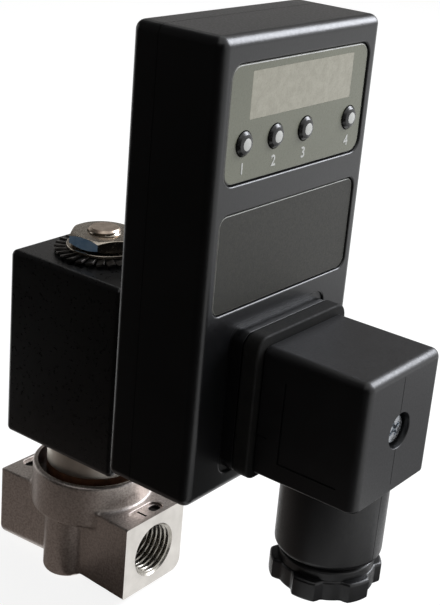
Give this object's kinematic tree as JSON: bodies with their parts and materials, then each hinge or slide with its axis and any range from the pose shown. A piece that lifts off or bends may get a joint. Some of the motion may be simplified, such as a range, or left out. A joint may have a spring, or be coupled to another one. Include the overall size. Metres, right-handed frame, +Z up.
{
  "type": "timed condensate drain valve",
  "caption": "Two-port solenoid drain valve for a compressed-air line, with a plug-on timer box, push buttons, a display window and a square cable connector with a gland.",
  "frame": {"origin": "where the flow axis through both ports meets the upright axis of the plunger", "axes": "+Z up along the plunger, +Y along the flow from inlet to outlet, so the timer's face looks along -Y"},
  "size_m": [0.0538, 0.102, 0.1413],
  "materials": {
    "cast_nickel_steel": "cast and tumbled, fine grain, machined port faces",
    "turned_steel": "turned stainless steel",
    "plated_steel": "nickel-plated steel",
    "yoke_steel": "plain magnetic steel",
    "copper": "bare copper",
    "brass_contact": "stamped brass",
    "black_epoxy": "moulded epoxy, satin",
    "black_abs": "moulded ABS, satin",
    "black_nylon": "moulded nylon, fine satin",
    "black_rubber": "moulded nitrile rubber",
    "smoked_panel": "smoked acrylic film, semi-gloss",
    "label_film": "bare dark film, fine grain",
    "display_face": "pale filter over the display",
    "lamp_lens": "clear red lens",
    "circuit_laminate": "green glass-fibre laminate",
    "button_plastic": "dark moulded button"
  },
  "bodies": {
    "valve": {"valve_body": "cast_nickel_steel", "guide_tube": "turned_steel", "bonnet_seal": "black_rubber", "plunger_spring": "plated_steel", "fixed_core": "plated_steel", "shading_ring": "copper", "coil_housing": "black_epoxy", "flux_sleeve": "yoke_steel", "flux_washer": "yoke_steel", "coil_bobbin": "black_nylon", "coil_winding": "copper", "lock_washer": "plated_steel", "flat_washer": "plated_steel", "hex_nut": "plated_steel", "coil_gasket": "black_rubber", "connector_gasket": "black_rubber", "timer_front_shell": "black_abs", "timer_rear_cover": "black_abs", "display_panel": "smoked_panel", "label_film": "label_film", "circuit_board": "circuit_laminate", "display_module": "display_face", "indicator_lamp": "lamp_lens", "connector_housing": "black_nylon", "terminal_insert": "black_nylon", "screw_seal": "black_rubber", "connector_screw": "plated_steel", "gland_grommet": "black_rubber", "gland_washer": "plated_steel", "gland_nut": "black_nylon", "coil_blade_left": "plated_steel", "timer_blade_left": "plated_steel", "socket_contact_left": "brass_contact", "coil_blade_right": "plated_steel", "timer_blade_right": "plated_steel", "socket_contact_right": "brass_contact", "coil_blade_earth": "plated_steel", "timer_blade_earth": "plated_steel", "socket_contact_earth": "brass_contact", "cover_screw_1": "plated_steel", "cover_screw_2": "plated_steel", "cover_screw_3": "plated_steel", "cover_screw_4": "plated_steel", "mode_switch": "black_nylon", "add_switch": "black_nylon", "enter_switch": "black_nylon", "reset_switch": "black_nylon"},
    "plunger": {"plunger": "turned_steel", "plunger_seal": "black_rubber"},
    "mode_button": {"mode_button": "button_plastic"},
    "add_button": {"add_button": "button_plastic"},
    "enter_button": {"enter_button": "button_plastic"},
    "reset_button": {"reset_button": "button_plastic"}
  },
  "joints": [
    {"name": "plunger_lift", "type": "slide", "parent": "valve", "child": "plunger", "axis": [0, 0, 1], "range_m": [0, 0.0018], "stiffness_N_per_m": 600, "springref_m": -0.004, "deforming": ["plunger_spring"]},
    {"name": "mode_press", "type": "slide", "parent": "valve", "child": "mode_button", "axis": [0, 1, 0], "range_m": [0, 0.0006], "stiffness_N_per_m": 800, "springref_m": -0.001},
    {"name": "add_press", "type": "slide", "parent": "valve", "child": "add_button", "axis": [0, 1, 0], "range_m": [0, 0.0006], "stiffness_N_per_m": 800, "springref_m": -0.001},
    {"name": "enter_press", "type": "slide", "parent": "valve", "child": "enter_button", "axis": [0, 1, 0], "range_m": [0, 0.0006], "stiffness_N_per_m": 800, "springref_m": -0.001},
    {"name": "reset_press", "type": "slide", "parent": "valve", "child": "reset_button", "axis": [0, 1, 0], "range_m": [0, 0.0006], "stiffness_N_per_m": 800, "springref_m": -0.001}
  ]
}
